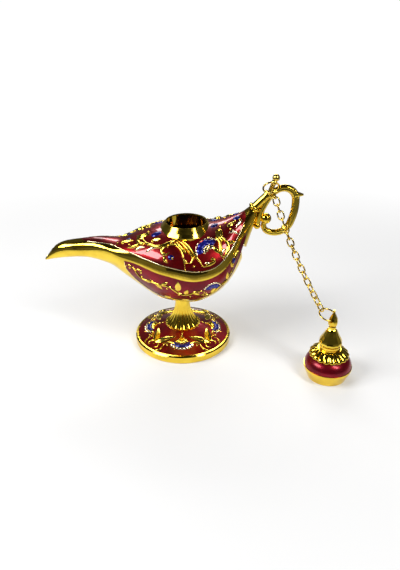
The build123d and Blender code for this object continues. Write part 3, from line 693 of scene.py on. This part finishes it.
def handle_rod():
    """The rod with its end balls, spur and the leaves laid over the loop."""
    mesh, line = build_rod()
    add_ball(mesh, (toe[0], 0, toe[1]), toe_ball)
    x, z, heading = line[-1]
    lead = Vector((cos(radians(heading)), 0, sin(radians(heading)))) * curl_lead
    add_ball(mesh, (x + lead.x, 0, z + lead.z), curl_ball)
    loop = [p for p in line if p[0] > loop_start and p[1] > loop_low]
    for x, z, heading in loop[1:-1:2]:
        out = Vector((cos(radians(heading + 90)), 0, sin(radians(heading + 90))))
        for side in (1, -1):
            add_ball(mesh, (x + out.x * lobe_out, side * lobe_side, z + out.z * lobe_out),
                     lobe_radius)
    root, tip = (Vector((x, 0, z)) for x, z in (spur_root, spur_tip))
    way = (tip - root).normalized()
    turn = Vector((0, 0, 1)).rotation_difference(way).to_matrix().to_4x4()
    place = Matrix.Translation((root + tip) / 2 * MM) @ turn
    bmesh.ops.create_cone(mesh, cap_ends=True, segments=20, radius1=spur_root_radius * MM,
                          radius2=spur_tip_radius * MM, depth=(tip - root).length * MM,
                          matrix=place)
    piece = finish_piece("handle_rod", mesh, cast_gold, "lamp")
    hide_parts("handle_scroll")


dome_ornament()
bowl_ornament()
enamel_borders()
foot_ornament()
handle_rod()


# Floor, lights and camera: floor distances from the lamp, and shares of full white
near_floor, far_floor = 120.0, 340.0
mirror_near, mirror_far, mirror_share = 75.0, 200.0, 0.12
floor_glow = 0.10
sky_low, sky_high = 0.14, 0.05
sky_fill = 0.20
sky_rise = 0.30
floor_size = 40000.0
near_tone, far_tone = 0.80, 0.10
# Softboxes: name, place, target, size and watts. Dark cards: name, place, target and size
softboxes = [
    ("key_box", (-250, -115, 300), (0, 0, 45), (230, 120), 1.15),
    ("fill_box", (215, -185, 290), (10, 0, 45), (80, 170), 0.6),
    ("back_box", (20, 300, 260), (10, 0, 50), (300, 70), 0.55),
]
flags = [
    ("flag_top", (20, -60, 420), (10, 0, 50), (520, 300)),
    ("flag_front", (0, -420, 60), (0, 0, 45), (420, 120)),
    ("flag_high", (60, -330, 330), (0, 0, 45), (330, 260)),
]


def floor():
    """White sweep that keeps the lamp's shadow, stays white far off and mirrors dark far off."""
    bpy.ops.mesh.primitive_plane_add(size=floor_size * MM)
    plane = bpy.context.object
    plane.name = "floor"
    material, tree, shader = new_material("floor_white")
    tree.nodes.remove(shader)
    output = tree.nodes["Material Output"]
    place = tree.nodes.new("ShaderNodeTexCoord")
    length = tree.nodes.new("ShaderNodeVectorMath")
    length.operation = "LENGTH"
    tree.links.new(place.outputs["Object"], length.inputs[0])

    def by_distance(near, far, low, high):
        node = tree.nodes.new("ShaderNodeMapRange")
        node.interpolation_type = "SMOOTHSTEP"
        node.inputs["From Min"].default_value = near * MM
        node.inputs["From Max"].default_value = far * MM
        node.inputs["To Min"].default_value = low
        node.inputs["To Max"].default_value = high
        tree.links.new(length.outputs["Value"], node.inputs["Value"])
        return node.outputs["Result"]

    def maths(operation, one, two):
        node = tree.nodes.new("ShaderNodeMath")
        node.operation = operation
        tree.links.new(one, node.inputs[0])
        tree.links.new(two, node.inputs[1])
        return node.outputs[0]

    path = tree.nodes.new("ShaderNodeLightPath")
    mirrored = tree.nodes.new("ShaderNodeMix")
    mirrored.inputs["A"].default_value = 1.0
    tree.links.new(path.outputs["Is Glossy Ray"], mirrored.inputs["Factor"])
    tree.links.new(by_distance(mirror_near, mirror_far, 1.0, mirror_share), mirrored.inputs["B"])
    far = by_distance(near_floor, far_floor, 0.0, 1.0)
    tone = ramp(tree, far, [(0.0, (near_tone,) * 3), (1.0, (far_tone,) * 3)])
    shade = tree.nodes.new("ShaderNodeVectorMath")
    shade.operation = "SCALE"
    tree.links.new(tone.outputs["Color"], shade.inputs[0])
    tree.links.new(mirrored.outputs["Result"], shade.inputs["Scale"])
    diffuse = tree.nodes.new("ShaderNodeBsdfDiffuse")
    tree.links.new(shade.outputs["Vector"], diffuse.inputs["Color"])
    seen = maths("MAXIMUM", path.outputs["Is Camera Ray"], path.outputs["Is Glossy Ray"])
    amount = maths("MULTIPLY", seen, by_distance(near_floor, far_floor, floor_glow, 1.0))
    glow = tree.nodes.new("ShaderNodeEmission")
    tree.links.new(maths("MULTIPLY", amount, mirrored.outputs["Result"]), glow.inputs["Strength"])
    both = tree.nodes.new("ShaderNodeAddShader")
    tree.links.new(diffuse.outputs[0], both.inputs[0])
    tree.links.new(glow.outputs[0], both.inputs[1])
    tree.links.new(both.outputs[0], output.inputs["Surface"])
    plane.data.materials.append(material)


def world():
    """White surround for the eye; polished metal sees it white at the horizon and dark overhead."""
    scene_world = bpy.data.worlds.new("surround")
    bpy.context.scene.world = scene_world
    scene_world.use_nodes = True
    tree = scene_world.node_tree
    background = tree.nodes["Background"]
    background.inputs["Color"].default_value = (1, 1, 1, 1)
    place = tree.nodes.new("ShaderNodeTexCoord")
    split = tree.nodes.new("ShaderNodeSeparateXYZ")
    tree.links.new(place.outputs["Generated"], split.inputs["Vector"])
    fall = tree.nodes.new("ShaderNodeMapRange")
    fall.interpolation_type = "SMOOTHSTEP"
    fall.inputs["From Min"].default_value = 0.0
    fall.inputs["From Max"].default_value = sky_rise
    fall.inputs["To Min"].default_value = sky_low
    fall.inputs["To Max"].default_value = sky_high
    tree.links.new(split.outputs["Z"], fall.inputs["Value"])
    path = tree.nodes.new("ShaderNodeLightPath")
    fill = tree.nodes.new("ShaderNodeMix")
    fill.inputs["A"].default_value = sky_fill
    tree.links.new(path.outputs["Is Glossy Ray"], fill.inputs["Factor"])
    tree.links.new(fall.outputs["Result"], fill.inputs["B"])
    seen = tree.nodes.new("ShaderNodeMath")
    seen.operation = "MAXIMUM"
    tree.links.new(path.outputs["Is Camera Ray"], seen.inputs[0])
    tree.links.new(path.outputs["Is Transmission Ray"], seen.inputs[1])
    strength = tree.nodes.new("ShaderNodeMix")
    strength.inputs["B"].default_value = 1.0
    tree.links.new(seen.outputs[0], strength.inputs["Factor"])
    tree.links.new(fill.outputs["Result"], strength.inputs["A"])
    tree.links.new(strength.outputs["Result"], background.inputs["Strength"])


def softbox(name, place, target, size, power):
    """Area light aimed at a point."""
    data = bpy.data.lights.new(name, "AREA")
    data.shape = "RECTANGLE"
    data.size, data.size_y = size[0] * MM, size[1] * MM
    data.energy = power
    light = bpy.data.objects.new(name, data)
    light.location = Vector(place) * MM
    way = (Vector(target) - Vector(place)).normalized()
    light.rotation_euler = way.to_track_quat("-Z", "Y").to_euler()
    bpy.context.scene.collection.objects.link(light)


def flag(name, place, target, size):
    """Dark card that only polished surfaces see, which gives them their dark reflections."""
    bpy.ops.mesh.primitive_plane_add(size=1.0)
    card = bpy.context.object
    card.name = name
    card.scale = (size[0] * MM, size[1] * MM, 1)
    card.location = Vector(place) * MM
    way = (Vector(target) - Vector(place)).normalized()
    card.rotation_euler = way.to_track_quat("Z", "Y").to_euler()
    card.visible_camera = card.visible_diffuse = card.visible_shadow = False
    card.visible_transmission = card.visible_volume_scatter = False
    material, tree, shader = new_material(name + "_cloth")
    weave = noise(tree, 40, 2)
    tone = ramp(tree, weave.outputs["Fac"],
                [(0.3, (0.010, 0.010, 0.010)), (0.7, (0.02, 0.02, 0.02))])
    tree.links.new(tone.outputs["Color"], shader.inputs["Base Color"])
    shader.inputs["Roughness"].default_value = 0.9
    card.data.materials.append(material)


def camera():
    """Camera at the photograph's place."""
    data = bpy.data.cameras.new("camera")
    data.sensor_fit = "HORIZONTAL"
    data.sensor_width = 36
    data.lens = camera_lens
    data.clip_start = 0.01
    view = bpy.data.objects.new("camera", data)
    view.location = Vector(camera_place) * MM
    view.rotation_euler = (radians(90 - camera_pitch), 0, 0)
    bpy.context.scene.collection.objects.link(view)
    bpy.context.scene.camera = view


floor()
world()
for box in softboxes:
    softbox(*box)
for card in flags:
    flag(*card)
camera()
bpy.context.scene.view_settings.view_transform = "Standard"
